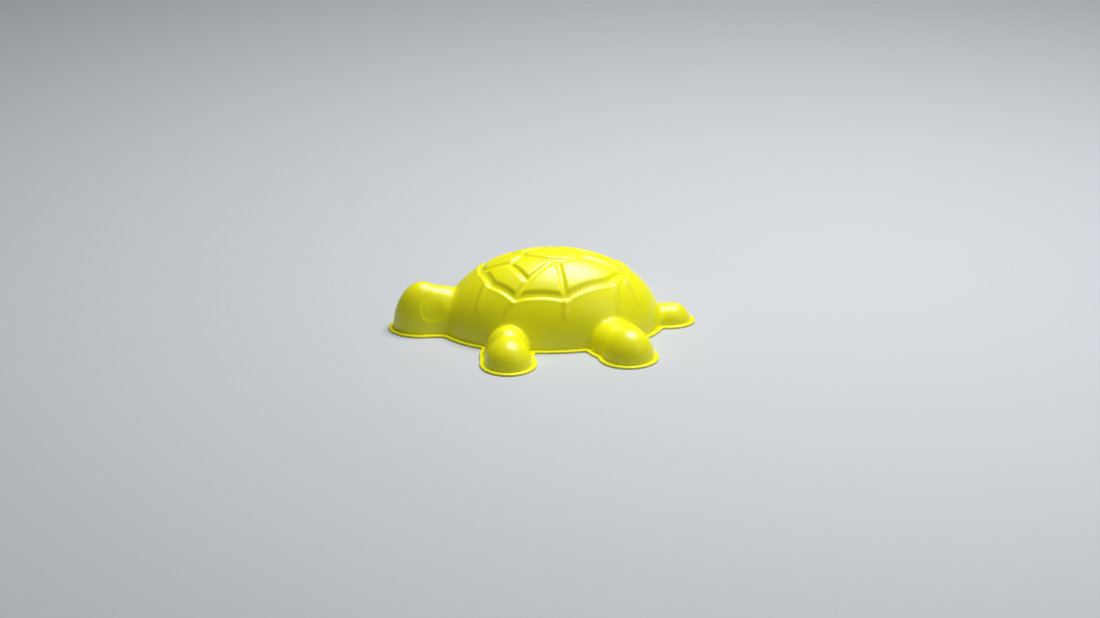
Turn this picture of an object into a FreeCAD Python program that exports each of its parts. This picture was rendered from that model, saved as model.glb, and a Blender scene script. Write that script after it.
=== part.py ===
"""Floating pool thermometer: a hollow turtle float with a bimetal dial in its belly.

Millimetres. The origin is at the middle of the rim plane, on which the float rests out of the
water. +Z is up, the head points to -X and the tail to +X. The dial faces down (-Z).
"""
import FreeCAD
import Part
import math
import os

# ---- float: overall sizes -------------------------------------------------------------------
OVERALL_LENGTH = 150.0
OVERALL_WIDTH = 127.0
DOME_HEIGHT = 38.6
RIM_WIDTH = 2.2          # how far the thin rim stands out of the walls
RIM_THICK = 1.1
SHELL_WALL = 1.3

# ---- float: how far the limbs reach out of the body, and their own sizes ----------------------
HEAD_REACH = 22.8
HEAD_LENGTH = 29.6
HEAD_WIDTH = 23.0
HEAD_HEIGHT = 24.0
NECK_SETBACK = 9.0       # neck centre, behind the head centre
NECK_LENGTH = 34.0
NECK_WIDTH = 22.4
NECK_HEIGHT = 20.6
TAIL_REACH = 14.8
TAIL_LENGTH = 22.6
TAIL_WIDTH = 16.8
TAIL_HEIGHT = 9.6
LEG_REACH = 26.1
FRONT_LEG_SETBACK = 30.6  # behind the front end of the body
FRONT_FOOT = (23.2, 24.4, 13.6)        # length along X, width along Y, height
FRONT_SHOULDER = (22.0, 24.0, 14.3)
FRONT_SHOULDER_INSET = 12.1            # shoulder centre, inboard of the foot centre
REAR_LEG_SETBACK = 20.0   # ahead of the rear end of the body
REAR_FOOT = (25.2, 24.6, 16.0)
REAR_FOOT_INSET = 4.5     # the rear feet end this much nearer the body than the front feet
REAR_SHOULDER = (26.0, 28.0, 15.3)
REAR_SHOULDER_INSET = 11.5
REAR_SHOULDER_SHIFT = -4.0             # ahead of the rear foot, so the leg is splayed back

# ---- belly plate ------------------------------------------------------------------------------
PLATE_RECESS = 1.0       # underside of the plate, above the rim plane
PLATE_THICK = 2.0
PLATE_GAP = 0.25         # between the plate's edge and the mouth of the shell
SEAL_GROOVE_DEPTH = 1.3
SEAL_HEIGHT = 0.9
SEAL_GAP = 0.1           # play of the seal in the plate's groove

# ---- screws that hold the belly plate ---------------------------------------------------------
SCREW_SHANK_R = 1.45
SCREW_HEAD_R = 2.7
SCREW_HEAD_T = 1.6
SCREW_LENGTH = 8.0
SCREW_RECESS_GAP = 0.4
DRIVE_WIDTH = 0.28       # arm of the cross recess, as a share of the head's radius
DRIVE_REACH = 0.62       # half length of an arm, as a share of the head's radius
DRIVE_DEPTH = 0.55       # as a share of the head's thickness
SCREW_SEAL_T = 0.6
CUP_WALL = 1.6
POST_R = 3.2
POST_PILOT_GAP = 0.5     # depth of the pilot hole past the screw's tip
SCREW_CLEAR = 0.15
REAR_SCREW_SETBACK = 12.0

# ---- tether eye -------------------------------------------------------------------------------
EYE_R = 2.0
EYE_LUG_T = 2.5
EYE_POCKET_LENGTH = 16.0
EYE_POCKET_DEPTH = 8.0
EYE_POCKET_WALL = 1.5
EYE_SIDE_GAP = 0.85      # from the pocket's walls to the seal groove beside them
EYE_GAP = 4.0            # from the pocket to the thermometer's seat ring
EYE_BELOW_ROOF = 4.2     # eye centre, below the roof of the pocket

# ---- thermometer capsule ----------------------------------------------------------------------
BEZEL_RECESS = 1.2       # bezel face, above the underside of the plate
BEZEL_T = 1.1
LENS_R = 20.0
LENS_T = 1.6
LENS_GAP = 0.15
LENS_LIP = 1.2           # how far bezel and case overlap the lens
LENS_GASKET_T = 0.6
CASE_WALL = 1.6
CASE_FLANGE_T = 1.8
CASE_FLANGE_WIDTH = 7.6  # past the lens
CASE_DEPTH = 17.7        # from the flange's face to the closed end
CASE_COLLAR = 2.2        # thicker collar behind the flange
CASE_GASKET_T = 0.6
CASE_GASKET_WIDTH = 1.4
SEAT_T = 1.8
SEAT_WALL = 2.0
SEAT_GAP = 0.3
BEZEL_SCREW_COUNT = 4
BEZEL_SCREW_R = 1.1
BEZEL_SCREW_HEAD_R = 1.9
BEZEL_SCREW_HEAD_T = 1.2
BEZEL_SCREW_LENGTH = 8.0
BEZEL_BOSS_R = 2.6
BEZEL_SCREW_INSET = 2.0  # screw circle, inside the flange's edge

# ---- dial and movement ------------------------------------------------------------------------
POINTER_GAP = 1.7        # lens to pointer
POINTER_T = 0.3
POINTER_EDGE_GAP = 3.7   # from the pointer's tip to the dial's edge
POINTER_TAIL = 5.0
POINTER_DISC_R = 2.3
POINTER_WIDTH = 1.5
HUB_R = 1.6
HUB_LENGTH = 1.4
DIAL_GAP = 0.5           # hub to dial
DIAL_T = 0.5
DIAL_EDGE_GAP = 0.6
DIAL_BORE_R = 2.0
BRIDGE_T = 0.8
BRIDGE_WIDTH = 7.0
BRIDGE_END_GAP = 2.3     # from the bridge's ends to the case
PILLAR_R = 2.2
DIAL_SCREW_R = 0.8
DIAL_SCREW_HEAD_R = 1.5
DIAL_SCREW_HEAD_T = 0.7
DIAL_SCREW_LENGTH = 5.0
ARBOR_R = 0.75
ARBOR_END = 0.4          # ahead of the pointer
BUSH_R = 1.6
BUSH_FLANGE_R = 2.5
BUSH_FLANGE_T = 0.5
BUSH_PLAY = 0.03
REAR_BUSH_LENGTH = 2.4
REAR_BOSS_R = 3.2
END_PLAY = 0.3
COLLET_R = 1.8
COIL_WIDTH = 3.0
COIL_THICK = 0.25
COIL_TURNS = 5
STUD_R = 0.7
STUD_SET = 0.8           # depth of the stud in the closed end of the case
STUD_PILLAR_GAP = 2.1

# ---- places worked out from the sizes above ---------------------------------------------------
BODY_FRONT_X = -OVERALL_LENGTH / 2 + RIM_WIDTH + HEAD_REACH
BODY_REAR_X = OVERALL_LENGTH / 2 - RIM_WIDTH - TAIL_REACH
BODY_X = (BODY_FRONT_X + BODY_REAR_X) / 2
BODY_HALF_LENGTH = (BODY_REAR_X - BODY_FRONT_X) / 2
LEG_END_Y = OVERALL_WIDTH / 2 - RIM_WIDTH
BODY_HALF_WIDTH = LEG_END_Y - LEG_REACH
HEAD_X = -OVERALL_LENGTH / 2 + RIM_WIDTH + HEAD_LENGTH / 2
TAIL_X = OVERALL_LENGTH / 2 - RIM_WIDTH - TAIL_LENGTH / 2
FRONT_FOOT_X = BODY_FRONT_X + FRONT_LEG_SETBACK
FRONT_FOOT_Y = LEG_END_Y - FRONT_FOOT[1] / 2
REAR_FOOT_X = BODY_REAR_X - REAR_LEG_SETBACK
REAR_FOOT_Y = LEG_END_Y - REAR_FOOT_INSET - REAR_FOOT[1] / 2

PLATE_TOP = PLATE_RECESS + PLATE_THICK
SEAL_Z = PLATE_RECESS + (PLATE_THICK - SEAL_HEIGHT) / 2
SCREW_SEAT_Z = PLATE_RECESS + SCREW_HEAD_T + SCREW_SEAL_T
CUP_R = SCREW_HEAD_R + SCREW_RECESS_GAP + CUP_WALL
CUP_TOP = SCREW_SEAT_Z + CUP_WALL
SCREW_TIP = PLATE_RECESS + SCREW_HEAD_T + SCREW_LENGTH
SCREW_PLACES = [(HEAD_X, 0.0), (BODY_REAR_X - REAR_SCREW_SETBACK, 0.0)]
for side in (-1, 1):
    SCREW_PLACES.append((FRONT_FOOT_X, side * FRONT_FOOT_Y))
    SCREW_PLACES.append((REAR_FOOT_X, side * REAR_FOOT_Y))

BEZEL_Z = PLATE_RECESS + BEZEL_RECESS
LENS_Z = BEZEL_Z + BEZEL_T
LENS_GASKET_Z = LENS_Z + LENS_T
LEDGE_Z = LENS_GASKET_Z + LENS_GASKET_T
FLANGE_TOP = LENS_Z + CASE_FLANGE_T
FLANGE_R = LENS_R + CASE_FLANGE_WIDTH
WINDOW_R = LENS_R - LENS_LIP
CASE_R = WINDOW_R + CASE_WALL
COLLAR_R = LENS_R + LENS_GAP + CASE_WALL
COLLAR_TOP = FLANGE_TOP + CASE_COLLAR
CASE_TOP = LENS_Z + CASE_DEPTH
CASE_CEILING = CASE_TOP - CASE_WALL
SEAT_Z = FLANGE_TOP + CASE_GASKET_T
SEAT_R = FLANGE_R + SEAT_GAP + SEAT_WALL
GASKET_R = COLLAR_R + SEAT_GAP + 0.3
BEZEL_SCREW_CIRCLE = FLANGE_R - BEZEL_SCREW_INSET
EYE_POCKET_WIDTH = NECK_WIDTH - 2 * (SHELL_WALL + PLATE_GAP + SEAL_GROOVE_DEPTH
                                     + EYE_SIDE_GAP + EYE_POCKET_WALL)
EYE_X = BODY_X - SEAT_R - EYE_GAP - EYE_POCKET_LENGTH / 2
EYE_ROOF = PLATE_RECESS + EYE_POCKET_DEPTH
EYE_Z = EYE_ROOF - EYE_BELOW_ROOF

DIAL_R = WINDOW_R - DIAL_EDGE_GAP
POINTER_LENGTH = DIAL_R - POINTER_EDGE_GAP
PILLAR_OFFSET = WINDOW_R - BRIDGE_END_GAP - BRIDGE_WIDTH / 2
POINTER_Z = LENS_GASKET_Z + POINTER_GAP
HUB_Z = POINTER_Z + POINTER_T
DIAL_Z = HUB_Z + HUB_LENGTH + DIAL_GAP
BRIDGE_Z = DIAL_Z + DIAL_T
BRIDGE_TOP = BRIDGE_Z + BRIDGE_T
COLLET_Z = BRIDGE_TOP + BUSH_FLANGE_T + END_PLAY
REAR_BUSH_Z = CASE_CEILING - REAR_BUSH_LENGTH
COIL_R0 = COLLET_R + COIL_THICK / 2
STUD_OFFSET = PILLAR_OFFSET - PILLAR_R - STUD_PILLAR_GAP - STUD_R
COIL_R1 = STUD_OFFSET - STUD_R - COIL_THICK / 2
COIL_PITCH = (COIL_R1 - COIL_R0) / COIL_TURNS


def disc(radius, z0, z1, x=BODY_X, y=0.0):
    """A solid cylinder along Z from z0 to z1."""
    return Part.makeCylinder(radius, z1 - z0, FreeCAD.Vector(x, y, z0))


def ring(inner, outer, z0, z1, x=BODY_X, y=0.0):
    """A flat ring between two radii from z0 to z1."""
    return disc(outer, z0, z1, x, y).cut(disc(inner, z0 - 1, z1 + 1, x, y))


def box(x0, x1, y0, y1, z0, z1):
    return Part.makeBox(x1 - x0, y1 - y0, z1 - z0, FreeCAD.Vector(x0, y0, z0))


def circle_places(radius, count, start):
    """Points spaced evenly round the thermometer's axis."""
    for index in range(count):
        turn = math.radians(start + 360.0 * index / count)
        yield BODY_X + radius * math.cos(turn), radius * math.sin(turn)


def lobes():
    """The rounded masses of the turtle: centre x, y, then half length, half width, height."""
    found = [
        (BODY_X, 0.0, BODY_HALF_LENGTH, BODY_HALF_WIDTH, DOME_HEIGHT),
        (HEAD_X, 0.0, HEAD_LENGTH / 2, HEAD_WIDTH / 2, HEAD_HEIGHT),
        (HEAD_X + NECK_SETBACK, 0.0, NECK_LENGTH / 2, NECK_WIDTH / 2, NECK_HEIGHT),
        (TAIL_X, 0.0, TAIL_LENGTH / 2, TAIL_WIDTH / 2, TAIL_HEIGHT),
    ]
    legs = [
        (FRONT_FOOT_X, FRONT_FOOT_Y, FRONT_FOOT),
        (FRONT_FOOT_X, FRONT_FOOT_Y - FRONT_SHOULDER_INSET, FRONT_SHOULDER),
        (REAR_FOOT_X, REAR_FOOT_Y, REAR_FOOT),
        (REAR_FOOT_X + REAR_SHOULDER_SHIFT, REAR_FOOT_Y - REAR_SHOULDER_INSET, REAR_SHOULDER),
    ]
    for x, y, (length, width, height) in legs:
        for side in (-1, 1):
            found.append((x, side * y, length / 2, width / 2, height))
    return found


def ellipsoid(x, y, half_length, half_width, height):
    """A full ellipsoid about (x, y, 0). Its seam is turned away from the plane of symmetry."""
    ball = Part.makeSphere(1.0)
    ball.rotate(FreeCAD.Vector(0, 0, 0), FreeCAD.Vector(0, 0, 1), 37)
    stretch = FreeCAD.Matrix()
    stretch.scale(half_length, half_width, height)
    stretch.move(FreeCAD.Vector(x, y, 0))
    return ball.transformGeometry(stretch)


def lobes_solid(inset):
    """The turtle's rounded body as one mass, drawn in by the inset."""
    balls = [ellipsoid(x, y, a - inset, b - inset, h - inset) for x, y, a, b, h in lobes()]
    return balls[0].multiFuse(balls[1:]).removeSplitter()


def outline_prism(offset, z0, z1):
    """The turtle's outline in the rim plane, grown by the offset, as a plate from z0 to z1."""
    plates = []
    for x, y, a, b, _ in lobes():
        long_half, short_half = a + offset, b + offset
        ellipse = Part.Ellipse(FreeCAD.Vector(0, 0, 0), max(long_half, short_half),
                               min(long_half, short_half))
        face = Part.Face(Part.Wire(ellipse.toShape()))
        plate = face.extrude(FreeCAD.Vector(0, 0, z1 - z0))
        if short_half > long_half:
            plate.rotate(FreeCAD.Vector(0, 0, 0), FreeCAD.Vector(0, 0, 1), 90)
        plate.translate(FreeCAD.Vector(x, y, z0))
        plates.append(plate)
    return plates[0].multiFuse(plates[1:]).removeSplitter()


def upper_shell():
    """Hollow yellow turtle with a thin rim, a mouth for the belly plate and six screw posts."""
    reach = OVERALL_LENGTH + OVERALL_WIDTH
    above = box(-reach, reach, -reach, reach, 0, reach)
    outside = lobes_solid(0.0).common(above)
    hollow = lobes_solid(SHELL_WALL)
    posts = [disc(POST_R, CUP_TOP, DOME_HEIGHT, x, y) for x, y in SCREW_PLACES]
    posts = posts[0].multiFuse(posts[1:])
    skin = outside.cut(hollow.cut(posts))
    rim = outline_prism(RIM_WIDTH, 0, RIM_THICK)
    shell = skin.fuse(rim)
    shell = shell.cut(outline_prism(-SHELL_WALL, -1, PLATE_TOP))
    pilots = [disc(SCREW_SHANK_R, CUP_TOP - 1, SCREW_TIP + POST_PILOT_GAP, x, y)
              for x, y in SCREW_PLACES]
    return shell.cut(pilots)


def belly_plate():
    """Plate that closes the mouth, with screw cups, the thermometer's seat and the tether eye."""
    edge = -SHELL_WALL - PLATE_GAP
    groove_top = SEAL_Z + SEAL_HEIGHT
    plate = outline_prism(edge, PLATE_RECESS, SEAL_Z)
    plate = plate.multiFuse([outline_prism(edge - SEAL_GROOVE_DEPTH, SEAL_Z, groove_top),
                             outline_prism(edge, groove_top, PLATE_TOP)])
    half_pocket = EYE_POCKET_LENGTH / 2
    half_width = EYE_POCKET_WIDTH / 2
    solids = [disc(CUP_R, PLATE_RECESS, CUP_TOP, x, y) for x, y in SCREW_PLACES]
    solids.append(disc(SEAT_R, PLATE_RECESS, SEAT_Z + SEAT_T))
    solids.append(box(EYE_X - half_pocket - EYE_POCKET_WALL, EYE_X + half_pocket + EYE_POCKET_WALL,
                      -half_width - EYE_POCKET_WALL, half_width + EYE_POCKET_WALL,
                      PLATE_RECESS, EYE_ROOF + EYE_POCKET_WALL))
    for x, y in circle_places(BEZEL_SCREW_CIRCLE, BEZEL_SCREW_COUNT, 45):
        solids.append(disc(BEZEL_BOSS_R, SEAT_Z, BEZEL_Z + BEZEL_SCREW_LENGTH + CUP_WALL, x, y))
    plate = plate.multiFuse(solids)
    cuts = []
    for x, y in SCREW_PLACES:
        cuts.append(disc(SCREW_HEAD_R + SCREW_RECESS_GAP, PLATE_RECESS - 1, SCREW_SEAT_Z, x, y))
        cuts.append(disc(SCREW_SHANK_R + SCREW_CLEAR, SCREW_SEAT_Z - 1, CUP_TOP + 1, x, y))
    cuts.append(disc(FLANGE_R + SEAT_GAP, PLATE_RECESS - 1, SEAT_Z))
    cuts.append(disc(COLLAR_R + SEAT_GAP, SEAT_Z - 1, SEAT_Z + SEAT_T + 1))
    for x, y in circle_places(BEZEL_SCREW_CIRCLE, BEZEL_SCREW_COUNT, 45):
        cuts.append(disc(BEZEL_SCREW_R, SEAT_Z - 1, BEZEL_Z + BEZEL_SCREW_LENGTH, x, y))
    for end in (-1, 1):
        far = EYE_X + end * half_pocket
        near = EYE_X + end * EYE_LUG_T / 2
        cuts.append(box(min(far, near), max(far, near), -half_width, half_width,
                        PLATE_RECESS - 1, EYE_ROOF))
    cuts.append(Part.makeCylinder(EYE_R, EYE_LUG_T + 2,
                                  FreeCAD.Vector(EYE_X - EYE_LUG_T / 2 - 1, 0, EYE_Z),
                                  FreeCAD.Vector(1, 0, 0)))
    return plate.cut(cuts)


def rim_seal():
    """Rubber seal that fills the gap between the plate's edge groove and the shell's mouth."""
    inner = -SHELL_WALL - PLATE_GAP - SEAL_GROOVE_DEPTH + SEAL_GAP
    z0, z1 = SEAL_Z + SEAL_GAP / 2, SEAL_Z + SEAL_HEIGHT - SEAL_GAP / 2
    return outline_prism(-SHELL_WALL, z0, z1).cut(outline_prism(inner, z0 - 1, z1 + 1))


def lowest_edge(solid):
    """The circular edge at the bottom of an upright cylinder."""
    circles = [edge for edge in solid.Edges if edge.isClosed()]
    return min(circles, key=lambda edge: edge.BoundBox.ZMin)


def pan_head_screw(x, y, head_z, head_r, head_t, shank_r, length, arms=2):
    """A screw with its head down, a rounded pan head and a cross recess (or a slot, one arm)."""
    seat = head_z + head_t
    head = disc(head_r, head_z, seat, x, y)
    head = head.makeFillet(head_t * 0.45, [lowest_edge(head)])
    tip = Part.makeCone(shank_r, shank_r / 2, shank_r, FreeCAD.Vector(x, y, seat + length - shank_r))
    shank = disc(shank_r, seat, seat + length - shank_r, x, y)
    screw = head.multiFuse([shank, tip]).removeSplitter()
    reach = head_r * DRIVE_REACH
    half = head_r * DRIVE_WIDTH / 2
    floor = head_z + head_t * DRIVE_DEPTH
    recess = [box(x - reach, x + reach, y - half, y + half, head_z - 1, floor),
              box(x - half, x + half, y - reach, y + reach, head_z - 1, floor)]
    return screw.cut(recess[:arms])


def belly_screws():
    """Six pan-head screws, as separate solids."""
    return Part.makeCompound([
        pan_head_screw(x, y, PLATE_RECESS, SCREW_HEAD_R, SCREW_HEAD_T, SCREW_SHANK_R, SCREW_LENGTH)
        for x, y in SCREW_PLACES])


def screw_seals():
    """Six rubber washers under the heads of the belly screws."""
    top = SCREW_SEAT_Z
    bottom = SCREW_SEAT_Z - SCREW_SEAL_T
    washers = [ring(SCREW_SHANK_R, SCREW_HEAD_R, bottom, top, x, y) for x, y in SCREW_PLACES]
    return Part.makeCompound(washers)


def bezel():
    """Stainless ring that clamps the lens."""
    plate = ring(WINDOW_R, FLANGE_R, BEZEL_Z, BEZEL_Z + BEZEL_T)
    holes = [disc(BEZEL_SCREW_R + SCREW_CLEAR, BEZEL_Z - 1, LENS_Z + 1, x, y)
             for x, y in circle_places(BEZEL_SCREW_CIRCLE, BEZEL_SCREW_COUNT, 45)]
    return plate.cut(holes)


def bezel_screws():
    """Four screws through bezel and case flange into the seat, as separate solids."""
    return Part.makeCompound([
        pan_head_screw(x, y, BEZEL_Z - BEZEL_SCREW_HEAD_T, BEZEL_SCREW_HEAD_R, BEZEL_SCREW_HEAD_T,
                       BEZEL_SCREW_R, BEZEL_SCREW_LENGTH)
        for x, y in circle_places(BEZEL_SCREW_CIRCLE, BEZEL_SCREW_COUNT, 45)])


def lens():
    return disc(LENS_R, LENS_Z, LENS_GASKET_Z)


def lens_gasket():
    return ring(WINDOW_R, LENS_R, LENS_GASKET_Z, LEDGE_Z)


def capsule_case():
    """White cup behind the lens, with its flange, two pillars and the rear bearing boss."""
    case = disc(FLANGE_R, LENS_Z, FLANGE_TOP)
    case = case.multiFuse([disc(COLLAR_R, LENS_Z, COLLAR_TOP), disc(CASE_R, LENS_Z, CASE_TOP)])
    case = case.cut([disc(LENS_R + LENS_GAP, LENS_Z - 1, LEDGE_Z),
                     disc(WINDOW_R, LENS_Z - 1, CASE_CEILING)])
    inside = [disc(REAR_BOSS_R, REAR_BUSH_Z, CASE_TOP)]
    for side in (-1, 1):
        inside.append(disc(PILLAR_R, BRIDGE_TOP, CASE_TOP, BODY_X + side * PILLAR_OFFSET))
    case = case.multiFuse(inside)
    holes = [disc(BUSH_R, REAR_BUSH_Z - 1, CASE_CEILING)]
    holes.append(disc(STUD_R, CASE_CEILING - 1, CASE_CEILING + STUD_SET, BODY_X + STUD_OFFSET))
    for side in (-1, 1):
        holes.append(disc(DIAL_SCREW_R, BRIDGE_TOP - 1, DIAL_Z + DIAL_SCREW_LENGTH,
                          BODY_X + side * PILLAR_OFFSET))
    for x, y in circle_places(BEZEL_SCREW_CIRCLE, BEZEL_SCREW_COUNT, 45):
        holes.append(disc(BEZEL_SCREW_R + SCREW_CLEAR, LENS_Z - 1, FLANGE_TOP + 1, x, y))
    return case.cut(holes)


def capsule_gasket():
    """Rubber ring between the case flange and its seat in the belly plate."""
    return ring(GASKET_R, GASKET_R + CASE_GASKET_WIDTH, FLANGE_TOP, SEAT_Z)


def dial_plate():
    dial = ring(DIAL_BORE_R, DIAL_R, DIAL_Z, BRIDGE_Z)
    holes = [disc(DIAL_SCREW_R + SCREW_CLEAR, DIAL_Z - 1, BRIDGE_Z + 1,
                  BODY_X + side * PILLAR_OFFSET) for side in (-1, 1)]
    return dial.cut(holes)


def dial_screws():
    """Two screws through dial and bridge into the pillars, as separate solids."""
    return Part.makeCompound([
        pan_head_screw(BODY_X + side * PILLAR_OFFSET, 0.0, DIAL_Z - DIAL_SCREW_HEAD_T,
                       DIAL_SCREW_HEAD_R, DIAL_SCREW_HEAD_T, DIAL_SCREW_R, DIAL_SCREW_LENGTH, 1)
        for side in (-1, 1)])


def movement_bridge():
    """Steel strip across the two pillars that carries the front bush."""
    strip = box(BODY_X - PILLAR_OFFSET, BODY_X + PILLAR_OFFSET,
                -BRIDGE_WIDTH / 2, BRIDGE_WIDTH / 2, BRIDGE_Z, BRIDGE_TOP)
    ends = [disc(BRIDGE_WIDTH / 2, BRIDGE_Z, BRIDGE_TOP, BODY_X + side * PILLAR_OFFSET)
            for side in (-1, 1)]
    holes = [disc(DIAL_SCREW_R + SCREW_CLEAR, BRIDGE_Z - 1, BRIDGE_TOP + 1,
                  BODY_X + side * PILLAR_OFFSET) for side in (-1, 1)]
    holes.append(disc(BUSH_R, BRIDGE_Z - 1, BRIDGE_TOP + 1))
    return strip.multiFuse(ends).removeSplitter().cut(holes)


def front_bush():
    """Flanged brass bearing in the bridge."""
    barrel = disc(BUSH_R, BRIDGE_Z, BRIDGE_TOP)
    flange = disc(BUSH_FLANGE_R, BRIDGE_TOP, BRIDGE_TOP + BUSH_FLANGE_T)
    bore = disc(ARBOR_R + BUSH_PLAY, BRIDGE_Z - 1, COLLET_Z)
    return barrel.fuse(flange).removeSplitter().cut(bore)


def rear_bush():
    """Plain brass bearing pressed into the boss at the closed end of the case."""
    return ring(ARBOR_R + BUSH_PLAY, BUSH_R, REAR_BUSH_Z, CASE_CEILING)


def arbor():
    return disc(ARBOR_R, POINTER_Z - ARBOR_END, CASE_CEILING - END_PLAY)


def coil_collet():
    """Brass collar on the arbor that holds the inner end of the coil."""
    return ring(ARBOR_R, COLLET_R, COLLET_Z, COLLET_Z + COIL_WIDTH)


def spiral_edges(offset):
    """Half-turn arcs of the coil, drawn out or in from its mid-line by the offset."""
    edges = []
    centre = BODY_X
    radius = COIL_R0
    for half_turn in range(2 * COIL_TURNS):
        side = 1 if half_turn % 2 == 0 else -1
        reach = side * (radius + offset)
        edges.append(Part.Arc(FreeCAD.Vector(centre + reach, 0, COLLET_Z),
                              FreeCAD.Vector(centre, reach, COLLET_Z),
                              FreeCAD.Vector(centre - reach, 0, COLLET_Z)).toShape())
        centre += side * COIL_PITCH / 2
        radius += COIL_PITCH / 2
    return edges


def bimetal_coil():
    """Flat spiral strip from the collet out to the stud, in arcs that grow every half turn."""
    inner = spiral_edges(-COIL_THICK / 2)
    outer = spiral_edges(COIL_THICK / 2)
    ends = [Part.makeLine(inner[0].Vertexes[0].Point, outer[0].Vertexes[0].Point),
            Part.makeLine(inner[-1].Vertexes[-1].Point, outer[-1].Vertexes[-1].Point)]
    outline = Part.Wire(Part.__sortEdges__(inner + outer + ends))
    return Part.Face(outline).extrude(FreeCAD.Vector(0, 0, COIL_WIDTH))


def coil_stud():
    """Pin in the closed end of the case that holds the outer end of the coil."""
    return disc(STUD_R, COLLET_Z, CASE_CEILING + STUD_SET, BODY_X + STUD_OFFSET)


def pointer():
    """Blade with a counterweight tail and a disc that the hub carries. It rests at mid-scale."""
    half = POINTER_WIDTH / 2
    points = [(POINTER_TAIL, -half), (0, -half), (-POINTER_LENGTH, 0), (0, half),
              (POINTER_TAIL, half)]
    corners = [FreeCAD.Vector(BODY_X + x, y, POINTER_Z) for x, y in points]
    blade = Part.Face(Part.makePolygon(corners + corners[:1]))
    blade = blade.extrude(FreeCAD.Vector(0, 0, POINTER_T))
    plate = blade.fuse(disc(POINTER_DISC_R, POINTER_Z, HUB_Z)).removeSplitter()
    return plate.cut(disc(ARBOR_R, POINTER_Z - 1, HUB_Z + 1))


def pointer_hub():
    return ring(ARBOR_R, HUB_R, HUB_Z, HUB_Z + HUB_LENGTH)


PIECES = [
    upper_shell, belly_plate, rim_seal, belly_screws, screw_seals,
    capsule_case, capsule_gasket, bezel, bezel_screws, lens, lens_gasket,
    dial_plate, dial_screws, movement_bridge, front_bush, rear_bush,
    arbor, coil_collet, bimetal_coil, coil_stud, pointer, pointer_hub,
]

os.makedirs("parts", exist_ok=True)
for piece in PIECES:
    shape = piece()
    shape.exportStep("parts/" + piece.__name__ + ".step")
    size = shape.BoundBox
    print("%-16s solids %2d  valid %s  volume %9.1f  z %.2f to %.2f" % (
        piece.__name__, len(shape.Solids), shape.isValid(), shape.Volume, size.ZMin, size.ZMax))
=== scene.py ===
import math
import bpy
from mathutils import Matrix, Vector


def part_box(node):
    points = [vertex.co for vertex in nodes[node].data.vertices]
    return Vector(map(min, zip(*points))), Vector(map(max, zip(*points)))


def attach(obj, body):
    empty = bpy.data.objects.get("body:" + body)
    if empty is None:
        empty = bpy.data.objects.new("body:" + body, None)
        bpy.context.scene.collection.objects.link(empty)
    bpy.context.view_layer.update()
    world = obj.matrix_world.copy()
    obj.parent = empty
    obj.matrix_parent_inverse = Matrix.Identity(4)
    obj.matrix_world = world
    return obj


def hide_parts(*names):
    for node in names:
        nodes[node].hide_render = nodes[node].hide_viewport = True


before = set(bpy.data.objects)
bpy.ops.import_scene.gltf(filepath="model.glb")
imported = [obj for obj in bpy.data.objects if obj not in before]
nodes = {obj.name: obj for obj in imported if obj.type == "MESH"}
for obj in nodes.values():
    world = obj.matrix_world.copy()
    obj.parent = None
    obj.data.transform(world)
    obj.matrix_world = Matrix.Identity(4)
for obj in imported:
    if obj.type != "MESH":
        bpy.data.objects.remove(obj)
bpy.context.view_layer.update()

MM = 0.001


# ---- Studio ----------------------------------------------------------------------------------
# A pale matt table with a large soft box above and a little behind the float, as under an open
# sky, and a weaker one in front. The camera stands low, almost square to the float's side.

def aim(thing, target):
    """Turn a lamp or camera, which look along their own -Z, towards a point."""
    thing.rotation_euler = (Vector(target) - thing.location).to_track_quat("-Z", "Y").to_euler()


def soft_box(name, place, size, power):
    bpy.ops.object.light_add(type="AREA", location=place)
    lamp = bpy.context.object
    lamp.name = name
    lamp.data.shape = "DISK"
    lamp.data.size = size
    lamp.data.energy = power
    aim(lamp, (0, 0, 0.02))


soft_box("sky_box", (0.20, 0.12, 0.80), 0.55, 10.0)
soft_box("front_box", (0.70, -0.60, 0.55), 0.50, 0.7)
bpy.context.scene.view_settings.view_transform = "Standard"

camera_distance = 1.49
camera_turn = math.radians(-4.0)
camera_rise = math.radians(22.0)
camera_across = 0.0037
camera_upward = 0.0076
bpy.ops.object.camera_add(rotation=(math.pi / 2 - camera_rise, 0, camera_turn))
camera = bpy.context.object
camera.data.lens = 100.0
camera.data.sensor_width = 36.0
turned = camera.rotation_euler.to_matrix()
across, upward, back = turned.col[0], turned.col[1], turned.col[2]
camera.location = back * camera_distance + across * camera_across + upward * camera_upward
bpy.context.scene.camera = camera

world = bpy.data.worlds.new("studio")
world.use_nodes = True
world.node_tree.nodes["Background"].inputs["Color"].default_value = (0.90, 0.94, 1.0, 1)
world.node_tree.nodes["Background"].inputs["Strength"].default_value = 0.10
bpy.context.scene.world = world


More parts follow.
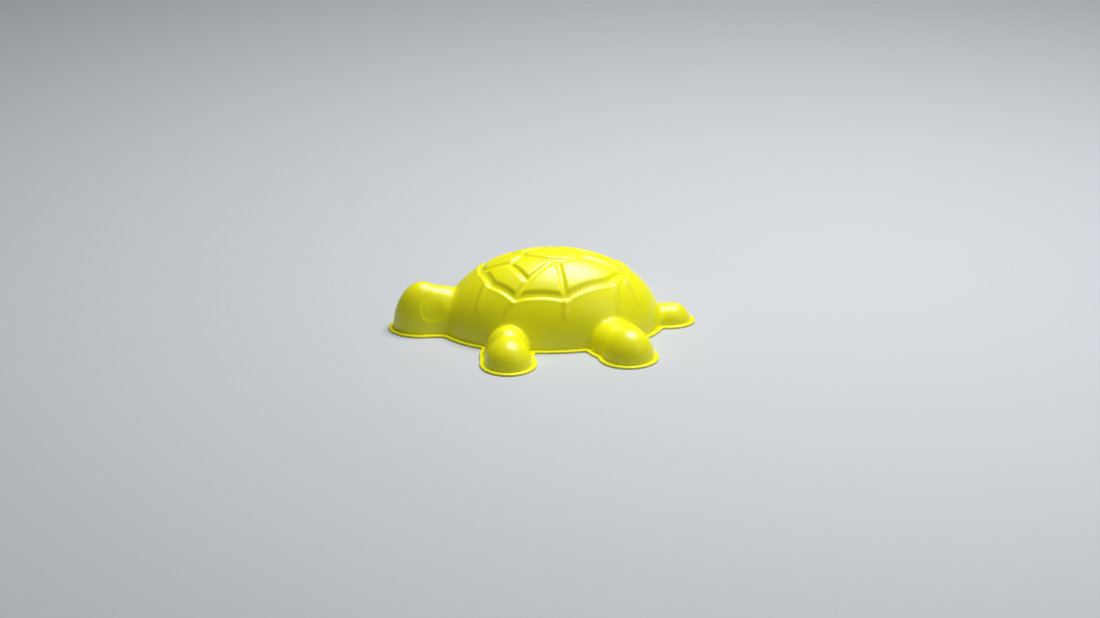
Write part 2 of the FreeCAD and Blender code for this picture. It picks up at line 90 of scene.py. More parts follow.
class Wire:
    """A node's output in one material, which takes part in plain expressions."""

    def __init__(self, tree, socket):
        self.tree = tree
        self.socket = socket

    def node(self, kind, inputs=(), output=0, stops=(), **settings):
        """Add a node: its settings first, then a ramp's stops, then its inputs."""
        made = self.tree.nodes.new(kind)
        for setting, value in settings.items():
            setattr(made, setting, value)
        for index, (place, colour) in enumerate(stops):
            elements = made.color_ramp.elements
            stop = elements[index] if index < 2 else elements.new(place)
            stop.position = place
            stop.color = colour
        for key, value in dict(inputs).items():
            if isinstance(value, Wire):
                self.tree.links.new(value.socket, made.inputs[key])
            else:
                made.inputs[key].default_value = value
        return Wire(self.tree, made.outputs[output])

    def math(self, operation, first, second):
        return self.node("ShaderNodeMath", {0: first, 1: second}, operation=operation)

    def __add__(self, other):
        return self.math("ADD", self, other)

    def __sub__(self, other):
        return self.math("SUBTRACT", self, other)

    def __mul__(self, other):
        return self.math("MULTIPLY", self, other)

    def __gt__(self, other):
        return self.math("GREATER_THAN", self, other)

    def __lt__(self, other):
        return self.math("LESS_THAN", self, other)

    def __radd__(self, other):
        return self.math("ADD", other, self)

    def __rsub__(self, other):
        return self.math("SUBTRACT", other, self)

    def __rmul__(self, other):
        return self.math("MULTIPLY", other, self)

    def noise(self, scale, detail=3.0, roughness=0.5):
        """Noise in space, in features per metre; self is the place."""
        return self.node("ShaderNodeTexNoise", {"Vector": self, "Scale": scale, "Detail": detail,
                                                "Roughness": roughness})

    def mix(self, first, second):
        """A colour between two colours, by self."""
        return self.node("ShaderNodeMix", {0: self, 6: first, 7: second}, output=2,
                         data_type="RGBA")

    def bump(self, distance):
        """Relief whose height is self, at most the distance given."""
        return self.node("ShaderNodeBump", {"Height": self, "Distance": distance, "Strength": 1.0})


class Finish:
    """One material: a surface shader whose fixed values are set on its own sockets."""

    def __init__(self, name, **fixed):
        self.material = bpy.data.materials.new(name)
        self.material.use_nodes = True
        self.tree = self.material.node_tree
        self.surface = self.tree.nodes["Principled BSDF"]
        self.start = Wire(self.tree, None)
        self.place = self.start.node("ShaderNodeTexCoord", output=3)
        for socket, value in fixed.items():
            self.set(socket.replace("_", " "), value)

    def set(self, socket, value):
        if isinstance(value, Wire):
            self.tree.links.new(value.socket, self.surface.inputs[socket])
        else:
            self.surface.inputs[socket].default_value = value

    def onto(self, *things):
        for thing in things:
            if not thing.material_slots:
                thing.data.materials.append(None)
            for slot in thing.material_slots:
                slot.material = self.material


bpy.ops.mesh.primitive_plane_add(size=3.0)
table_top = bpy.context.object
table_top.name = "table_top"
matt_paper = Finish("matt_paper", Base_Color=(0.46, 0.48, 0.50, 1), Roughness=0.75)
matt_paper.set("Roughness", 0.70 + 0.08 * matt_paper.place.noise(40.0))
matt_paper.onto(table_top)


# ---- Upper shell -----------------------------------------------------------------------------
# The turtle itself: one thin-walled injection moulding in glossy yellow plastic. Its domed back
# has sunk lines between raised pads, and a thin rim runs round the whole outline. Screw posts
# for the belly plate stand inside.

rim_width = 2.2 * MM
rim_thick = 1.1 * MM
shell_wall = 1.3 * MM
body_x = 4.0 * MM
body_half = Vector((54.0, 35.2, 38.6)) * MM
body_voxel = 0.65 * MM
slab_voxel = 0.6 * MM
hollow_voxel = 1.0 * MM
rim_edge = 0.3 * MM
post_r = 3.2 * MM
post_top = 40 * MM
pilot_r = 1.45 * MM
pilot_top = 11.1 * MM
cup_top = 4.8 * MM

# centre along X, centre along Y, half length, half width, height, in millimetres
middle_lobes = [
    (4.0, 0.0, 54.0, 35.2, 38.6),
    (-58.0, 0.0, 14.8, 11.5, 24.0),
    (-49.5, 0.0, 17.0, 11.5, 21.9),
    (61.5, 0.0, 11.3, 8.4, 9.6),
    (64.0, 0.0, 8.2, 7.4, 9.5),
]
leg_lobes = [
    (-19.4, 49.1, 11.6, 12.2, 13.6),
    (-19.4, 37.0, 11.0, 12.0, 14.3),
    (-19.4, 42.0, 11.2, 13.0, 11.0),
    (38.0, 44.5, 12.6, 12.3, 15.5),
    (33.0, 33.0, 12.5, 13.0, 14.0),
    (40.0, 36.0, 8.6, 16.0, 12.0),
]


def only(thing):
    """Select one object and make it active."""
    bpy.ops.object.select_all(action="DESELECT")
    thing.select_set(True)
    bpy.context.view_layer.objects.active = thing


def modify(thing, kind, **settings):
    """Add a modifier and apply it."""
    modifier = thing.modifiers.new(kind, kind)
    for setting, value in settings.items():
        setattr(modifier, setting, value)
    only(thing)
    bpy.ops.object.modifier_apply(modifier=modifier.name)


def copy_of(thing, name):
    only(thing)
    bpy.ops.object.duplicate()
    bpy.context.object.name = name
    return bpy.context.object


def join(name, things):
    """Make one object of several, with its place in its mesh."""
    bpy.ops.object.select_all(action="DESELECT")
    for thing in things:
        thing.select_set(True)
    bpy.context.view_layer.objects.active = things[0]
    if len(things) > 1:
        bpy.ops.object.join()
    whole = bpy.context.object
    whole.name = name
    bpy.ops.object.transform_apply(location=True, rotation=True, scale=True)
    return whole


def combine(thing, operation, *tools):
    """Add, cut away or keep what is in common with each tool, and use the tools up."""
    for tool in tools:
        modify(thing, "BOOLEAN", operation=operation, object=tool, solver="MANIFOLD")
        bpy.data.objects.remove(tool)


def weigh(thing, name, weight_at):
    """A vertex group whose weights come from a rule on each point's place."""
    group = thing.vertex_groups.new(name=name)
    for vertex in thing.data.vertices:
        weight = weight_at(vertex.co)
        if weight > 0.002:
            group.add([vertex.index], min(weight, 1.0), "REPLACE")
    return name


def ramp(value, low, high):
    """0 at low, 1 at high, smooth between; low may be the greater."""
    share = min(max((value - low) / (high - low), 0.0), 1.0)
    return share * share * (3 - 2 * share)


def ellipsoids(lobes):
    balls = []
    for x, y, half_length, half_width, height in lobes:
        bpy.ops.mesh.primitive_uv_sphere_add(
            segments=96, ring_count=48, radius=MM, location=(x * MM, y * MM, 0),
            scale=(half_length, half_width, height))
        balls.append(bpy.context.object)
    return balls


def drum(radius, low, high, x=0.0, y=0.0, sides=48):
    """An upright cylinder between two heights."""
    bpy.ops.mesh.primitive_cylinder_add(vertices=sides, radius=radius, depth=high - low,
                                        location=(x, y, (low + high) / 2))
    return bpy.context.object


def block(low, high):
    """A box between two corners."""
    size = [b - a for a, b in zip(low, high)]
    bpy.ops.mesh.primitive_cube_add(size=1, location=[(a + b) / 2 for a, b in zip(low, high)],
                                    scale=size)
    bpy.ops.object.transform_apply(location=True, rotation=True, scale=True)
    return bpy.context.object


def slice_between(thing, low, high):
    """Keep only what lies between two heights, closed at both."""
    only(thing)
    bpy.ops.object.mode_set(mode="EDIT")
    for height, keep in ((low, "clear_inner"), (high, "clear_outer")):
        bpy.ops.mesh.select_all(action="SELECT")
        bpy.ops.mesh.bisect(plane_co=(0, 0, height), plane_no=(0, 0, 1), use_fill=True,
                            threshold=1e-7, **{keep: True})
    bpy.ops.object.mode_set(mode="OBJECT")


def ease_edges(thing, width):
    """Round the sharp edges of a thing a little."""
    only(thing)
    bpy.ops.object.mode_set(mode="EDIT")
    bpy.ops.mesh.select_all(action="DESELECT")
    bpy.ops.mesh.edges_select_sharp(sharpness=math.radians(60))
    bpy.ops.mesh.bevel(offset=width, segments=2)
    bpy.ops.object.mode_set(mode="OBJECT")
    return thing


bpy.ops.object.select_all(action="DESELECT")
all_lobes = list(middle_lobes)
for x, y, *sizes in leg_lobes:
    all_lobes += [(x, y, *sizes), (x, -y, *sizes)]
smooth_body = join("smooth_body", ellipsoids(all_lobes))
modify(smooth_body, "REMESH", mode="VOXEL", voxel_size=body_voxel)


def neck_zone(point):
    """Where head, neck and body flow into each other."""
    return ramp(abs(point.x + 44 * MM), 18 * MM, 7 * MM) * ramp(abs(point.y), 22 * MM, 14 * MM)


def corner_zone(point):
    """Low down, where legs and tail meet the body."""
    return ramp(abs(point.z), 9 * MM, 3 * MM)


def rear_zone(point):
    """The rear legs and the root of the tail, which are soft all over."""
    leg = ramp(abs(point.x - 38 * MM), 20 * MM, 14 * MM) * ramp(abs(point.y), 22 * MM, 28 * MM)
    tail = ramp(abs(point.x - 57 * MM), 7 * MM, 3 * MM) * ramp(abs(point.z), 18 * MM, 12 * MM)
    return max(leg, tail)


weigh(smooth_body, "neck", neck_zone)
weigh(smooth_body, "corners", corner_zone)
weigh(smooth_body, "rear", rear_zone)
modify(smooth_body, "SMOOTH", factor=0.5, iterations=12)
modify(smooth_body, "SMOOTH", factor=0.5, iterations=70, vertex_group="neck")
modify(smooth_body, "SMOOTH", factor=0.5, iterations=30, vertex_group="corners")
modify(smooth_body, "SMOOTH", factor=0.5, iterations=40, vertex_group="rear")
slice_between(smooth_body, -5 * MM, 60 * MM)


def wall_only(point):
    """The upright wall of a slab, without its top and bottom."""
    return 1.0 if -3.4 * MM < point.z < 4.4 * MM else 0.0


def outline_slab(name, grow, low, high):
    """A flat plate with the turtle's outline in the rim plane, grown or drawn in."""
    slab = copy_of(smooth_body, name)
    slice_between(slab, -4 * MM, 5 * MM)
    modify(slab, "DISPLACE", strength=grow, mid_level=0.0,
           vertex_group=weigh(slab, "wall", wall_only))
    modify(slab, "REMESH", mode="VOXEL", voxel_size=slab_voxel)
    modify(slab, "SMOOTH", factor=0.5, iterations=6, use_z=False)
    slice_between(slab, low, high)
    return slab


def on_dome(x, y):
    """The point of the domed back above a place in plan, from the body's own centre."""
    inside = 1 - (x * MM / body_half.x) ** 2 - (y * MM / body_half.y) ** 2
    return Vector((body_x + x * MM, y * MM, body_half.z * math.sqrt(max(inside, 0.0))))


class Line:
    """A straight line in plan, laid over the domed back."""

    def __init__(self, start, end):
        self.start = Vector(start)
        self.along = Vector(end) - self.start
        self.outward = Vector((-self.along.y, self.along.x)).normalized()
        if self.outward.dot(self.start + self.along / 2) < 0:
            self.outward.negate()

    def measure(self, point):
        """How far a point is from the line, how far along it, and whether it is outside it."""
        plan = Vector(((point.x - body_x) / MM, point.y / MM)) - self.start
        share = min(max(plan.dot(self.along) / self.along.length_squared, 0.0), 1.0)
        nearest = self.start + share * self.along
        return (point - on_dome(*nearest)).length / MM, share, plan.dot(self.outward) > 0


def chain(points):
    """Lines through the points, and the same lines on the other side of the body."""
    other = [(x, -y) for x, y in points]
    return [Line(a, b) for side in (points, other) for a, b in zip(side[:-1], side[1:])]


# the sunk pattern on one side, from the body's centre, in millimetres
ring = chain([(-34, 3.5), (-29.5, 15.5), (-19, 24.7), (5.2, 27.2), (26.5, 17.4), (36, 6.5)])
ring += [Line((-34, -3.5), (-34, 3.5)), Line((36, -6.5), (36, 6.5))]
hexagon = chain([(-13.5, 2.6), (-2.5, 8.6), (6.5, 9.2), (14, 4)])
hexagon += [Line((-13.5, -2.6), (-13.5, 2.6)), Line((14, -4), (14, 4))]
spokes = chain([(2.5, 9), (5.2, 27.2)])
spokes += chain([(1.5, 9), (-12.3, 19.6), (-19, 24.7)])
spokes += chain([(-12.3, 19.6), (-19.5, 8.6)])
spokes += chain([(-34, 3.5), (-19.5, 6.5), (-13.5, 2.6)])
spokes += chain([(14, 4), (36, 6.5)])
ribs = chain([(-32.5, 14), (-37, 21)])
ribs += chain([(-20.6, 25.4), (-24.2, 28.0)])
ribs += chain([(5.2, 27.9), (4.4, 33)])
ribs += chain([(30.4, 17), (30.6, 24.8)])
ribs += chain([(36, 11.5), (41.4, 17)])


def sunk(point):
    """1 on the floor of a sunk line, 0 on the pads between them."""
    if point.z < 18 * MM or abs(point.y) > 33 * MM:
        return 0.0
    depth = 0.0
    for line in ring:
        distance, _, outside = line.measure(point)
        depth = max(depth, ramp(distance, 1.8, 0.7) if outside else ramp(distance, 3.6, 0.8))
    for line in hexagon + spokes:
        depth = max(depth, ramp(line.measure(point)[0], 2.0, 0.6))
    return depth


def lip(point):
    """A narrow rounded lip along the outside of the ring."""
    if point.z < 8 * MM or abs(point.y) > 36 * MM or point.x < -36 * MM:
        return 0.0
    height = 0.0
    for line in ring:
        distance, _, outside = line.measure(point)
        if outside:
            height = max(height, ramp(distance, 1.0, 1.9) * ramp(distance, 3.8, 2.2))
    return height


def rib(point):
    """Low ribs that run down the flanks from the ring's corners and fade out."""
    if point.z < 8 * MM or abs(point.y) > 36 * MM or abs(point.x - body_x) > 46 * MM:
        return 0.0
    height = 0.0
    for line in ribs:
        distance, share, _ = line.measure(point)
        height = max(height, ramp(distance, 2.0, 0.3) * (1 - 0.7 * share))
    return height * ramp(point.z, 13 * MM, 18 * MM)


eye_place = Vector((-53.9, 14.0)) * MM
eye_half = Vector((5.8, 7.0)) * MM


def eye_step(point):
    """A shallow oval step on each side of the head, crisp at its lower front and soft behind."""
    if point.x > -44 * MM or abs(point.y) < 3 * MM:
        return 0.0
    reach = Vector(((point.x - eye_place.x) / eye_half.x, (point.z - eye_place.y) / eye_half.y))
    return ramp(reach.length, 1.06, 0.84) * ramp(reach.x + reach.y, 1.5, -0.2)


def nostril(point):
    """A short upright ridge on each side of the snout."""
    if point.x > -62 * MM:
        return 0.0
    across = abs(abs(point.y) - 6.4 * MM) / MM
    return ramp(across, 1.0, 0.3) * ramp(abs(point.z - 7.8 * MM), 3.4 * MM, 2.2 * MM)


shell = copy_of(smooth_body, "turtle_shell")
for rule, height in ((sunk, -0.95), (lip, 0.10), (rib, 0.8), (eye_step, -0.38),
                     (nostril, 0.3)):
    group = weigh(shell, rule.__name__, rule)
    modify(shell, "DISPLACE", strength=height * MM, mid_level=0.0, vertex_group=group)
modify(shell, "SMOOTH", factor=0.5, iterations=2)

hollow = copy_of(shell, "hollow")
modify(hollow, "DISPLACE", strength=-shell_wall, mid_level=0.0)
modify(hollow, "REMESH", mode="VOXEL", voxel_size=hollow_voxel)
modify(hollow, "SMOOTH", factor=0.5, iterations=3)

post_places = [(-58.0 * MM, 0), (46.0 * MM, 0)]
post_places += [(x * MM, side * y * MM) for x, y in ((-19.4, 49.1), (38.0, 44.5))
                for side in (-1, 1)]
posts = join("posts", [drum(post_r, cup_top, post_top, x, y) for x, y in post_places])
combine(posts, "INTERSECT", copy_of(shell, "outside"))
pilots = join("pilots", [drum(pilot_r, 0, pilot_top, x, y) for x, y in post_places])

rim = ease_edges(outline_slab("rim", rim_width, 0, rim_thick), rim_edge)
combine(shell, "UNION", rim)
below = block((-0.1, -0.1, -0.02), (0.1, 0.1, 0))
combine(shell, "DIFFERENCE", hollow, below)
combine(shell, "UNION", posts)
combine(shell, "DIFFERENCE", pilots)
only(shell)
bpy.ops.object.shade_smooth_by_angle(angle=math.radians(50))

yellow = Finish("yellow_plastic", IOR=1.45, Coat_Weight=0.35, Coat_Roughness=0.28,
                Subsurface_Weight=0.05, Subsurface_Radius=(0.003, 0.0025, 0.0001))
cloudy = yellow.place.noise(60.0)
yellow.set("Base Color", cloudy.mix((0.80, 0.78, 0.001, 1), (0.86, 0.84, 0.002, 1)))
yellow.set("Roughness", 0.30 + 0.12 * yellow.place.noise(300.0))
yellow.set("Normal", yellow.place.noise(900.0).bump(0.02 * MM))
yellow.onto(shell)
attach(shell, "float_body")
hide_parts("upper_shell")


# ---- Belly plate -----------------------------------------------------------------------------
# A second yellow moulding, which closes the mouth of the shell from below. It has a cup for
# each screw, a stepped round seat for the thermometer and a pocket with an eye for a cord, all
# in one piece, and a groove round its edge that holds the seal.

lens_low, lens_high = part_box("lens")
dial_x = (lens_low[0] + lens_high[0]) / 2
plate_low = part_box("belly_plate")[0][2]
plate_high = plate_low + 2.0 * MM
plate_inset = shell_wall + 0.25 * MM
screw_seat = 3.2 * MM
screw_recess_r = 3.1 * MM
screw_cup_r = 4.7 * MM
seat_face = 5.7 * MM
seat_recess_r = 27.9 * MM
seat_ring_r = 29.9 * MM
seat_ring_top = 7.5 * MM
case_opening_r = 22.05 * MM
bezel_circle_r = 25.6 * MM
bezel_boss_r = 2.6 * MM
bezel_boss_top = 11.8 * MM
pocket_roof = 9.0 * MM
pocket_wall = 1.5 * MM
eye_x = -37.9 * MM
eye_z = 4.8 * MM
eye_r = 2.0 * MM


def round_the_axis(radius, count=4, start=45.0):
    """Places spaced evenly on a circle about the thermometer's axis."""
    for index in range(count):
        turn = math.radians(start + 360.0 * index / count)
        yield dial_x + radius * math.cos(turn), radius * math.sin(turn)


def smooth_faces(thing, angle=40):
    """Shade small bends smooth, and keep broad flat faces flat."""
    only(thing)
    bpy.ops.object.shade_smooth_by_angle(angle=math.radians(angle))
    modify(thing, "WEIGHTED_NORMAL", keep_sharp=True)


plate = ease_edges(outline_slab("belly_moulding", -plate_inset, plate_low, plate_high), 0.2 * MM)
groove = outline_slab("groove", -plate_inset + 1.0 * MM, plate_low + 0.55 * MM,
                      plate_high - 0.55 * MM)
combine(groove, "DIFFERENCE", outline_slab("groove_floor", -plate_inset - 1.3 * MM, 0, 4 * MM))
combine(plate, "DIFFERENCE", groove)

inside_plate = plate_low + 0.8 * MM
moulded_on = [drum(screw_cup_r, inside_plate, cup_top, x, y) for x, y in post_places]
moulded_on.append(drum(seat_ring_r, inside_plate, seat_ring_top, dial_x, sides=160))
moulded_on.append(block((eye_x - 9.5 * MM, -7.5 * MM, inside_plate),
                        (eye_x + 9.5 * MM, 7.5 * MM, pocket_roof + pocket_wall)))
for thing in moulded_on:
    ease_edges(thing, 0.3 * MM)
moulded_on += [drum(bezel_boss_r, seat_face, bezel_boss_top, x, y)
               for x, y in round_the_axis(bezel_circle_r)]
combine(plate, "UNION", *moulded_on)

cuts = [drum(screw_recess_r, 0, screw_seat, x, y) for x, y in post_places]
cuts += [drum(1.6 * MM, screw_seat - MM, 6 * MM, x, y) for x, y in post_places]
cuts += [drum(1.1 * MM, seat_face - MM, 10.2 * MM, x, y)
         for x, y in round_the_axis(bezel_circle_r)]
cuts += [drum(seat_recess_r, 0, seat_face, dial_x, sides=160),
         drum(case_opening_r, seat_face - MM, 9 * MM, dial_x, sides=128)]
for near, far in ((-8.0, -1.25), (1.25, 8.0)):
    well = block((eye_x + near * MM, -6 * MM, 0), (eye_x + far * MM, 6 * MM, pocket_roof))
    cuts.append(ease_edges(well, 0.8 * MM))
bpy.ops.mesh.primitive_cylinder_add(vertices=40, radius=eye_r, depth=5 * MM,
                                    location=(eye_x, 0, eye_z), rotation=(0, math.pi / 2, 0))
cuts.append(join("eye_bore", [bpy.context.object]))
ejector_marks = [(-19.4, 36), (-19.4, -36), (36, 31.5), (36, -31.5), (60, 0), (-66, 0)]
cuts += [drum(1.8 * MM, 0, plate_low + 0.12 * MM, x * MM, y * MM) for x, y in ejector_marks]
combine(plate, "DIFFERENCE", *cuts)
smooth_faces(plate)
yellow.onto(plate)
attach(plate, "float_body")
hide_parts("belly_plate")


# ---- Edge seal and rubber rings --------------------------------------------------------------
# Black rubber. One long seal fills the groove round the plate and presses on the shell's mouth,
# a washer lies under each screw head, and two flat rings keep water out of the thermometer.

edge_seal = outline_slab("edge_seal", -shell_wall - 0.03 * MM, 1.6 * MM, 2.4 * MM)
combine(edge_seal, "DIFFERENCE", outline_slab("seal_inside", -2.75 * MM, 0, 4 * MM))
smooth_faces(edge_seal)
rubber = Finish("seal_rubber", IOR=1.52)
dust = rubber.place.noise(700.0)
rubber.set("Base Color", dust.mix((0.012, 0.012, 0.013, 1), (0.035, 0.035, 0.036, 1)))
rubber.set("Roughness", 0.62 + 0.25 * dust)
rubber.set("Normal", rubber.place.noise(1500.0).bump(0.03 * MM))
rubber.onto(edge_seal, nodes["screw_seals"], nodes["lens_gasket"], nodes["capsule_gasket"])
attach(edge_seal, "float_body")
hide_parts("rim_seal")


# ---- Screws ----------------------------------------------------------------------------------
# Stainless pan-head screws, six with a cross recess through the belly plate into the shell's
# posts, four through the bezel into the seat, and two slotted ones that hold the dial. Heads
# are cold formed and polished, threads are rolled.

def turned(name, profile, x=0.0, y=0.0, sides=48):
    """Spin a closed outline of (radius, height) points, in millimetres, about an upright axis."""
    bpy.ops.mesh.primitive_circle_add(vertices=len(profile), radius=MM)
    piece = bpy.context.object
    piece.name = name
    for vertex, (radius, height) in zip(piece.data.vertices, profile):
        vertex.co = (x + radius * MM, y, height * MM)
    bpy.ops.object.mode_set(mode="EDIT")
    bpy.ops.mesh.select_all(action="SELECT")
    bpy.ops.mesh.spin(steps=sides, angle=math.tau, center=(x, y, 0), axis=(0, 0, 1))
    bpy.ops.mesh.select_all(action="SELECT")
    bpy.ops.mesh.remove_doubles(threshold=1e-6)
    bpy.ops.mesh.delete_loose()
    bpy.ops.mesh.select_all(action="SELECT")
    bpy.ops.mesh.normals_make_consistent(inside=False)
    bpy.ops.object.mode_set(mode="OBJECT")
    return piece


def screw_set(name, node, places, head_r, head_t, shank_r, length, pitch, arms):
    """Like screws in one object: one is modelled with its head down, and copied to each place."""
    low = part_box(node)[0][2] / MM
    seat = low + head_t
    tip = seat + length
    rows = 6 * round((length - shank_r) / pitch)
    shank = [(shank_r, seat + (length - shank_r) * row / rows) for row in range(rows + 1)]
    head = [(0, low), (head_r * 0.55, low + head_t * 0.02), (head_r * 0.82, low + head_t * 0.12),
            (head_r * 0.95, low + head_t * 0.34), (head_r, low + head_t * 0.62), (head_r, seat)]
    screw = turned(name, head + shank + [(shank_r * 0.45, tip), (0, tip)])

    def thread(point):
        """The rolled thread: a wave that climbs one pitch for each turn."""
        height = point.z / MM
        if height < seat + 0.3:
            return 0.0
        wave = (height / pitch - math.atan2(point.y, point.x) / math.tau) % 1.0
        return abs(2 * wave - 1) * ramp(height, seat + 0.3, seat + 0.9) * ramp(height, tip, tip - 1)

    modify(screw, "DISPLACE", strength=-0.22 * shank_r * MM, mid_level=0.0,
           vertex_group=weigh(screw, "thread", thread))
    reach, half, floor = head_r * 0.62 * MM, head_r * 0.14 * MM, (low + head_t * 0.55) * MM
    recess = [block((-reach, -half, 0), (reach, half, floor)),
              block((-half, -reach, 0), (half, reach, floor))]
    combine(screw, "DIFFERENCE", *recess[:arms])
    for spare in recess[arms:]:
        bpy.data.objects.remove(spare)
    smooth_faces(screw, 35)
    copies = []
    for index, (x, y) in enumerate(places):
        copies.append(copy_of(screw, name))
        copies[-1].location = (x, y, 0)
        copies[-1].rotation_euler = (0, 0, 0.9 * index)
    bpy.data.objects.remove(screw)
    whole = join(name, copies)
    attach(whole, "float_body")
    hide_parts(node)
    return whole


dial_screw_x = 13 * MM
steel_screws = [
    screw_set("plate_screws", "belly_screws", post_places,
              head_r=2.7, head_t=1.6, shank_r=1.45, length=8.0, pitch=1.1, arms=2),
    screw_set("ring_screws", "bezel_screws", list(round_the_axis(bezel_circle_r)),
              head_r=1.9, head_t=1.2, shank_r=1.1, length=8.0, pitch=0.9, arms=2),
    screw_set("dial_fixings", "dial_screws",
              [(dial_x - dial_screw_x, 0), (dial_x + dial_screw_x, 0)],
              head_r=1.5, head_t=0.7, shank_r=0.8, length=5.0, pitch=0.6, arms=1),
]
polished = Finish("polished_steel", Metallic=1.0)
polished.set("Base Color", polished.place.noise(120.0).mix((0.56, 0.57, 0.58, 1),
                                                          (0.66, 0.67, 0.68, 1)))
polished.set("Roughness", 0.16 + 0.16 * polished.place.noise(900.0))
polished.onto(*steel_screws)


# ---- Bezel -----------------------------------------------------------------------------------
# A flat ring turned from stainless sheet, with broken edges and four holes. It clamps the lens
# and is the bright frame that is seen round the dial.

bezel_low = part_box("bezel")[0][2] / MM
bezel_high = lens_low[2] / MM
bezel = turned("bezel_ring", [
    (18.8, bezel_high), (18.8, bezel_low + 0.6), (19.4, bezel_low), (27.3, bezel_low),
    (27.6, bezel_low + 0.3), (27.6, bezel_high)], dial_x, 0, 160)
combine(bezel, "DIFFERENCE", *[drum(1.25 * MM, 0, 6 * MM, x, y)
                               for x, y in round_the_axis(bezel_circle_r)])
smooth_faces(bezel, 30)


def from_axis(finish):
    """A place in a material, seen from the thermometer's axis."""
    return finish.place.node("ShaderNodeVectorMath", {0: finish.place, 1: (dial_x, 0, 0)},
                             operation="SUBTRACT")


def split(place):
    """The X, Y and Z of a place."""
    return [place.node("ShaderNodeSeparateXYZ", {0: place}, output=index) for index in range(3)]


def away_from_axis(along_x, along_y):
    """How far a place is from the thermometer's axis."""
    squared = along_x * along_x + along_y * along_y
    return squared.math("POWER", squared, 0.5)


brushed = Finish("brushed_steel", Metallic=1.0)
along_x, along_y, _ = split(from_axis(brushed))
radius = away_from_axis(along_x, along_y)
turning = brushed.start.node("ShaderNodeCombineXYZ", {0: radius * 40.0})
marks = turning.noise(200.0, 4.0, 0.7)
brushed.set("Base Color", marks.mix((0.50, 0.51, 0.52, 1), (0.68, 0.69, 0.70, 1)))
brushed.set("Roughness", 0.24 + 0.22 * marks)
brushed.set("Normal", marks.bump(0.01 * MM))
brushed.onto(bezel, nodes["movement_bridge"], nodes["arbor"], nodes["coil_stud"])
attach(bezel, "float_body")
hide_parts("bezel")


# ---- Lens ------------------------------------------------------------------------------------
# A clear acrylic disc, cut and polished, with a small bevel at both edges.

lens_r = (lens_high[0] - lens_low[0]) / 2 / MM
low, high = lens_low[2] / MM, lens_high[2] / MM
window = turned("lens_disc", [(0, low), (lens_r - 0.2, low), (lens_r, low + 0.2),
                              (lens_r, high - 0.2), (lens_r - 0.2, high), (0, high)],
                dial_x, 0, 128)
smooth_faces(window, 30)
acrylic = Finish("clear_acrylic", Base_Color=(0.96, 0.985, 0.98, 1), IOR=1.49,
                 Transmission_Weight=1.0)
acrylic.set("Roughness", 0.015 + 0.03 * acrylic.place.noise(400.0))
acrylic.onto(window)
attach(window, "float_body")
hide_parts("lens")


# ---- Thermometer case ------------------------------------------------------------------------
# The cup behind the lens, moulded in white plastic with a fine satin texture. Its flange sits
# under the bezel, and inside stand two pillars and the boss of the rear bearing.

satin = Finish("white_satin", Subsurface_Weight=0.05, IOR=1.5)
grain = satin.place.noise(1800.0, 2.0)
satin.set("Base Color", satin.place.noise(80.0).mix((0.80, 0.80, 0.77, 1), (0.86, 0.86, 0.84, 1)))
satin.set("Roughness", 0.42 + 0.16 * grain)
satin.set("Normal", grain.bump(0.02 * MM))
satin.onto(nodes["capsule_case"])


# ---- Dial ------------------------------------------------------------------------------------
# A painted aluminium disc with a printed scale from 0 to 50 degrees over three quarters of a
# turn. A band outside the numbers is blue for cold, green for comfortable and red for hot.

dial_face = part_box("dial_plate")[0][2]
scale_half_turn = math.radians(135)
scale_top = 50
band_inner = 16.5 * MM
band_outer = 17.5 * MM
paint = Finish("printed_dial", IOR=1.5)
along_x, along_y, _ = split(from_axis(paint))
radius = away_from_axis(along_x, along_y)
turn = paint.start.math("ARCTAN2", 0.0 - along_y, 0.0 - along_x)
share = turn * (0.5 / scale_half_turn) + 0.5
band_colour = share.node("ShaderNodeValToRGB", {0: share}, stops=(
    (0.0, (0.02, 0.16, 0.62, 1)), (0.46, (0.05, 0.48, 0.14, 1)), (0.66, (0.85, 0.36, 0.02, 1)),
    (0.78, (0.66, 0.03, 0.02, 1))))
on_band = (radius > band_inner) * (radius < band_outer) * (share > 0.0) * (share < 1.0)
enamel = paint.place.noise(90.0).mix((0.82, 0.82, 0.79, 1), (0.88, 0.88, 0.86, 1))
paint.set("Base Color", on_band.mix(enamel, band_colour))
paint.set("Roughness", 0.34 + 0.1 * paint.place.noise(600.0))
paint.set("Normal", paint.place.noise(1200.0).bump(0.008 * MM))
paint.onto(nodes["dial_plate"])


# ---- Dial print ------------------------------------------------------------------------------
# Black screen print on the dial, as thin raised ink: a mark for each degree, longer ones every
# five and ten, and a number every ten degrees.

ink_thick = 0.05 * MM
ink_high = dial_face + 0.01 * MM
mark_outer_r = 16.1
number_r = 11.2 * MM
marks = []
for degree in range(scale_top + 1):
    length, width = 1.2, 0.16
    if degree % 5 == 0:
        length, width = 2.0, 0.28
    if degree % 10 == 0:
        length, width = 2.6, 0.38
    bpy.ops.mesh.primitive_cube_add(size=1, scale=(length * MM, width * MM, ink_thick),
                                    location=(-(mark_outer_r - length / 2) * MM, 0, 0))
    mark = bpy.context.object
    bpy.ops.object.transform_apply(location=True, rotation=True, scale=True)
    modify(mark, "BEVEL", width=0.04 * MM, segments=1)
    mark.rotation_euler = (0, 0, (2 * degree / scale_top - 1) * scale_half_turn)
    mark.location = (dial_x, 0, ink_high - ink_thick / 2)
    marks.append(mark)


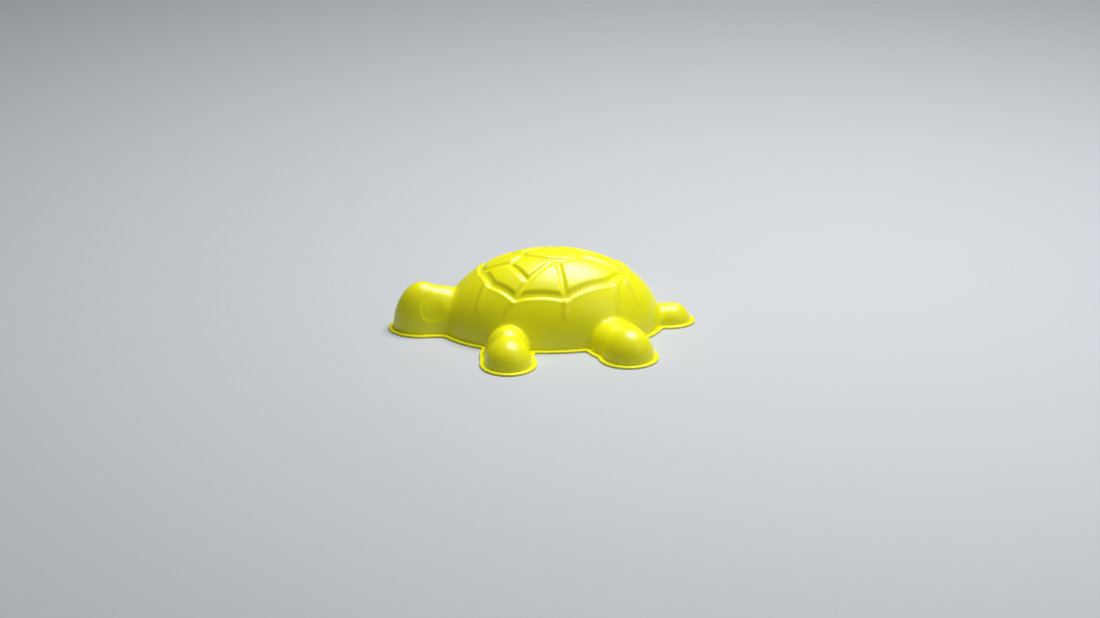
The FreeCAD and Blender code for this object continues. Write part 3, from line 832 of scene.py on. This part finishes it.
def number(text, x, y, size):
    """Ink in the shape of some text, which reads from below with the head at the top."""
    bpy.ops.object.text_add()
    words = bpy.context.object
    words.data.body = text
    words.data.align_x = "CENTER"
    words.data.align_y = "CENTER"
    words.data.size = size
    words.data.extrude = ink_thick / 2
    words.data.resolution_u = 4
    only(words)
    bpy.ops.object.convert(target="MESH")
    words = bpy.context.object
    bpy.ops.object.mode_set(mode="EDIT")
    bpy.ops.mesh.select_all(action="SELECT")
    bpy.ops.mesh.remove_doubles(threshold=1e-7)
    bpy.ops.mesh.normals_make_consistent(inside=False)
    bpy.ops.object.mode_set(mode="OBJECT")
    words.rotation_euler = (math.pi, 0, -math.pi / 2)
    words.location = (x, y, ink_high - ink_thick / 2)
    return words


for degree in range(0, scale_top + 1, 10):
    turn = (2 * degree / scale_top - 1) * scale_half_turn
    marks.append(number(str(degree), dial_x - number_r * math.cos(turn),
                        -number_r * math.sin(turn), 3.4 * MM))
marks.append(number("\u00b0C", dial_x + 7.0 * MM, 0, 3.0 * MM))
print_marks = join("dial_print", marks)
ink = Finish("black_ink", IOR=1.5)
ink.set("Base Color", ink.place.noise(900.0).mix((0.010, 0.010, 0.012, 1), (0.022, 0.022, 0.024, 1)))
ink.set("Roughness", 0.4 + 0.1 * ink.place.noise(500.0))
ink.onto(print_marks)
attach(print_marks, "float_body")


# ---- Movement --------------------------------------------------------------------------------
# Behind the dial a bimetal strip is wound into a flat spiral. Its inner end is held by a brass
# collet on the arbor and its outer end by a steel stud in the case. The arbor runs in two brass
# bushes, and carries the red pointer on a brass hub.

brass = Finish("turned_brass", Metallic=1.0)
tarnish = brass.place.noise(260.0, 4.0)
brass.set("Base Color", tarnish.mix((0.62, 0.42, 0.14, 1), (0.83, 0.62, 0.27, 1)))
brass.set("Roughness", 0.22 + 0.2 * tarnish)
brass.onto(nodes["front_bush"], nodes["rear_bush"], nodes["coil_collet"], nodes["pointer_hub"])

strip = Finish("bimetal_strip", Metallic=1.0)
heat = strip.place.noise(350.0, 3.0)
strip.set("Base Color", heat.mix((0.36, 0.31, 0.27, 1), (0.60, 0.56, 0.50, 1)))
strip.set("Roughness", 0.3 + 0.15 * heat)
strip.onto(nodes["bimetal_coil"])

red = Finish("pointer_red", IOR=1.5, Coat_Weight=0.3, Coat_Roughness=0.1)
red.set("Base Color", red.place.noise(500.0).mix((0.50, 0.012, 0.008, 1), (0.62, 0.02, 0.012, 1)))
red.set("Roughness", 0.3 + 0.1 * red.place.noise(700.0))
red.onto(nodes["pointer"])


# ---- Tidy up ---------------------------------------------------------------------------------
# The smooth body that the shell, slabs and seal were copied from is removed.

bpy.data.objects.remove(smooth_body)
